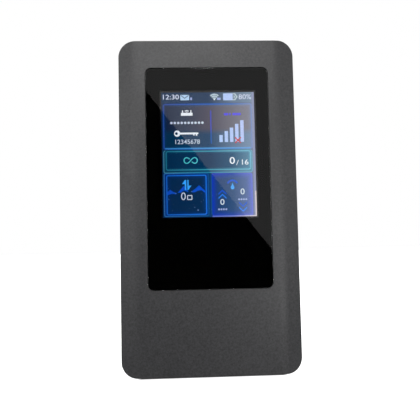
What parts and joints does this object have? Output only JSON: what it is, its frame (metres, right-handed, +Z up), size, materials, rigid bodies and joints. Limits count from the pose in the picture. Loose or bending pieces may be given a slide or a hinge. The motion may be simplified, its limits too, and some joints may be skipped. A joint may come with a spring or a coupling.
{
  "type": "mobile hotspot",
  "caption": "Pocket mobile hotspot with a portrait colour display under a black lens, side keys, card tray, charging port, battery and snap-off rear cover.",
  "frame": {"origin": "centre of the footprint on the plane the lower end stands on", "axes": "+Z up along the length towards the end with the charging port, -Y out of the screen, +Y out of the rear cover, +X to the viewer's right when facing the screen"},
  "size_m": [0.0692, 0.0176, 0.13],
  "materials": {
    "shell_plastic": "fine-grained matte anthracite plastic",
    "cover_plastic": "fine-grained matte anthracite plastic",
    "key_plastic": "satin anthracite plastic",
    "chassis_plastic": "matt black moulded plastic",
    "lens_glass": "clear gloss panel, black printed border",
    "tape": "black double-sided tape",
    "display_panel": "lit colour display, smooth polariser",
    "display_tray": "white moulded backlight tray",
    "flex_film": "amber polyimide film",
    "circuit_board": "green solder mask",
    "plated_metal": "bright tin-plated sheet",
    "black_plastic": "black moulded resin",
    "screw_steel": "zinc-plated steel",
    "battery_wrap": "blue-grey pouch film",
    "antenna_copper": "bare copper on film",
    "card_plastic": "off-white moulded plastic",
    "wire_red": "red insulation",
    "wire_black": "black insulation",
    "wire_yellow": "yellow insulation"
  },
  "bodies": {
    "hotspot_body": {"front_shell": "shell_plastic", "mid_chassis": "chassis_plastic", "battery_guard_board": "chassis_plastic", "display_lens": "lens_glass", "lens_adhesive": "tape", "battery_tape": "tape", "lcd_panel": "display_panel", "lcd_backlight_tray": "display_tray", "lcd_flex": "flex_film", "main_board": "circuit_board", "modem_shield_can": "plated_metal", "radio_shield_can": "plated_metal", "power_shield_can": "plated_metal", "usb_port_sleeve": "plated_metal", "sim_reader": "plated_metal", "power_switch_case": "plated_metal", "menu_switch_case": "plated_metal", "reset_switch_case": "plated_metal", "modem_chip": "black_plastic", "radio_chip": "black_plastic", "charger_chip": "black_plastic", "usb_port_tongue": "black_plastic", "chassis_screw_1": "screw_steel", "chassis_screw_2": "screw_steel", "chassis_screw_3": "screw_steel", "chassis_screw_4": "screw_steel", "board_screw_1": "screw_steel", "board_screw_2": "screw_steel", "battery_cell": "battery_wrap", "main_antenna": "antenna_copper", "wifi_antenna": "antenna_copper", "diversity_antenna": "antenna_copper", "battery_socket": "card_plastic", "battery_plug": "card_plastic", "battery_lead_red": "wire_red", "battery_lead_black": "wire_black", "battery_lead_yellow": "wire_yellow"},
    "rear_cover": {"rear_cover": "cover_plastic"},
    "sim_tray": {"sim_tray": "key_plastic", "sim_card": "card_plastic"},
    "power_key": {"power_key": "key_plastic", "power_switch_plunger": "black_plastic"},
    "menu_key": {"menu_key": "key_plastic", "menu_switch_plunger": "black_plastic"},
    "reset_button": {"reset_switch_plunger": "black_plastic"}
  },
  "joints": [
    {"name": "rear_cover_lift", "type": "slide", "parent": "hotspot_body", "child": "rear_cover", "axis": [0, 1, 0], "range_m": [0, 0.022]},
    {"name": "sim_tray_slide", "type": "slide", "parent": "hotspot_body", "child": "sim_tray", "axis": [1, 0, 0], "range_m": [0, 0.019]},
    {"name": "power_key_press", "type": "slide", "parent": "hotspot_body", "child": "power_key", "axis": [1, 0, 0], "range_m": [0, 0.0003], "stiffness_N_per_m": 400, "springref_m": -0.001},
    {"name": "menu_key_press", "type": "slide", "parent": "hotspot_body", "child": "menu_key", "axis": [1, 0, 0], "range_m": [0, 0.0003], "stiffness_N_per_m": 400, "springref_m": -0.001},
    {"name": "reset_press", "type": "slide", "parent": "hotspot_body", "child": "reset_button", "axis": [0, 0, -1], "range_m": [0, 0.00025], "stiffness_N_per_m": 400, "springref_m": -0.001}
  ]
}
